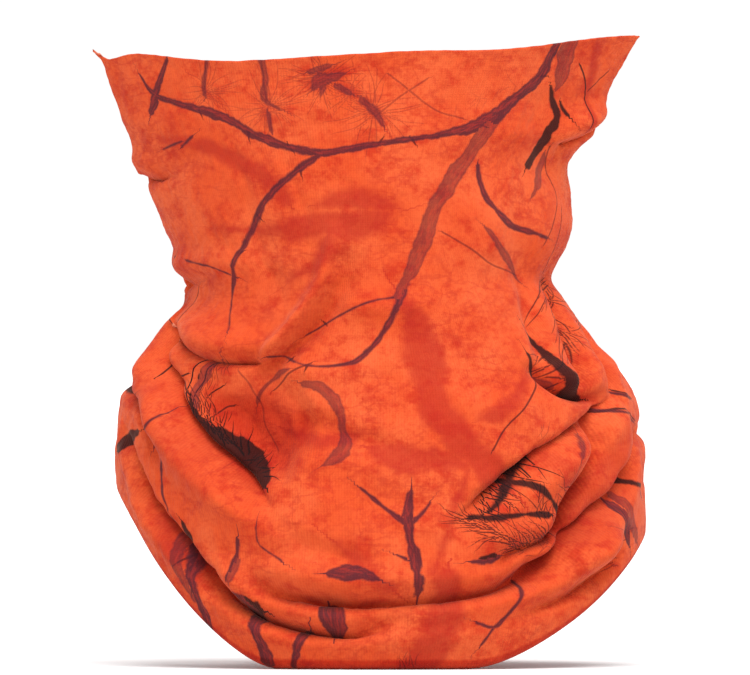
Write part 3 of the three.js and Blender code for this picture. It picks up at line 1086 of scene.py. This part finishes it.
def store_print(mesh):
    """Lays the print's lines on the cloth, and the coordinates that the material reads."""
    azimuth, height = read_place(mesh)
    spots = Spots(azimuth, height)
    paint("twig", twice_round(bark_lines()), mesh, spots, TWIG_REACH)
    # the print's soft shadows, with painted shade on the collar's rolls
    paint("shade", twice_round(shade_lines()), mesh, spots, SHADE_REACH)
    paint("needle", twice_round([*needles(), *threads(), *thorns()]), mesh, spots, NEEDLE_REACH)
    store_flat(mesh, azimuth, height)
    # the finished points, because mottling by the flat ones would stretch where folds roll over
    store(mesh, "cloth_shape", "FLOAT_VECTOR", "POINT", points_of(mesh))


def make_cloth():
    cloth = cloth_object()
    settle(cloth)
    modify(cloth, "SUBSURF", levels=1, render_levels=1, subdivision_type="CATMULL_CLARK")
    store_print(cloth.data)
    cloth.data.materials.append(jersey("printed_jersey", reverse=False))
    cloth.data.materials.append(jersey("jersey_reverse", reverse=True))
    modify(cloth, "SOLIDIFY", thickness=CLOTH_THICKNESS, offset=-1.0, material_offset=1)
    for polygon in cloth.data.polygons:
        polygon.use_smooth = True
    return cloth


# ---------------------------------------------------------------- the stage

FLOOR_HALF = 60.0
CAMERA_DISTANCE = 6.0
CAMERA_PLACE = (-0.0012, -CAMERA_DISTANCE, 0.1335)
VIEW_WIDTH = 0.3055  # across the picture, where the gaiter stands
SENSOR_WIDTH = 36


def add_floor():
    mesh = bpy.data.meshes.new("floor")
    corners = [(x * FLOOR_HALF, y * FLOOR_HALF, 0) for x, y in ((-1, -1), (1, -1), (1, 1), (-1, 1))]
    mesh.from_pydata(corners, [], [(0, 1, 2, 3)])
    pale = bpy.data.materials.new("pale_floor")
    pale.use_nodes = True
    shader = pale.node_tree.nodes["Principled BSDF"]
    shader.inputs["Base Color"].default_value = (0.8, 0.8, 0.8, 1)
    shader.inputs["Roughness"].default_value = 0.9
    mesh.materials.append(pale)
    floor = link("floor", mesh)


def add_world(strength):
    world = bpy.data.worlds.new("studio")
    world.use_nodes = True
    background = world.node_tree.nodes["Background"]
    background.inputs["Color"].default_value = (1, 1, 1, 1)
    background.inputs["Strength"].default_value = strength
    bpy.context.scene.world = world


def along(direction):
    """The rotation that makes a light shine along a direction."""
    return Vector(direction).to_track_quat("-Z", "Y").to_euler()


def add_lamp(name, place, aim, size, power):
    light = bpy.data.lights.new(name, "AREA")
    light.shape = "RECTANGLE"
    light.size = size
    light.size_y = size
    light.energy = power
    lamp = link(name, light)
    lamp.location = place
    lamp.rotation_euler = along(Vector(aim) - Vector(place))


def add_sun(name, direction, spread, strength):
    light = bpy.data.lights.new(name, "SUN")
    light.energy = strength
    light.angle = math.radians(spread)
    link(name, light).rotation_euler = along(direction)


def add_camera():
    data = bpy.data.cameras.new("camera")
    data.sensor_width = SENSOR_WIDTH
    data.lens = SENSOR_WIDTH * CAMERA_DISTANCE / VIEW_WIDTH
    camera = link("camera", data)
    camera.location = CAMERA_PLACE
    camera.rotation_euler = (math.pi / 2, 0, 0)
    bpy.context.scene.camera = camera


cloth = make_cloth()
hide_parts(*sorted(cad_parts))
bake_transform(cloth)

add_floor()
add_world(1.02)
add_lamp("fill", (1.5, -1.3, 1.0), (0, 0, 0.12), 1.2, 3)
add_lamp("low_fill", (-0.2, -2.6, 0.35), (0, 0, 0.1), 1.6, 10)
add_sun("soft_key", (-0.12, 0.5, -1.0), 40, 2.9)
bpy.context.scene.view_settings.view_transform = "Standard"
add_camera()
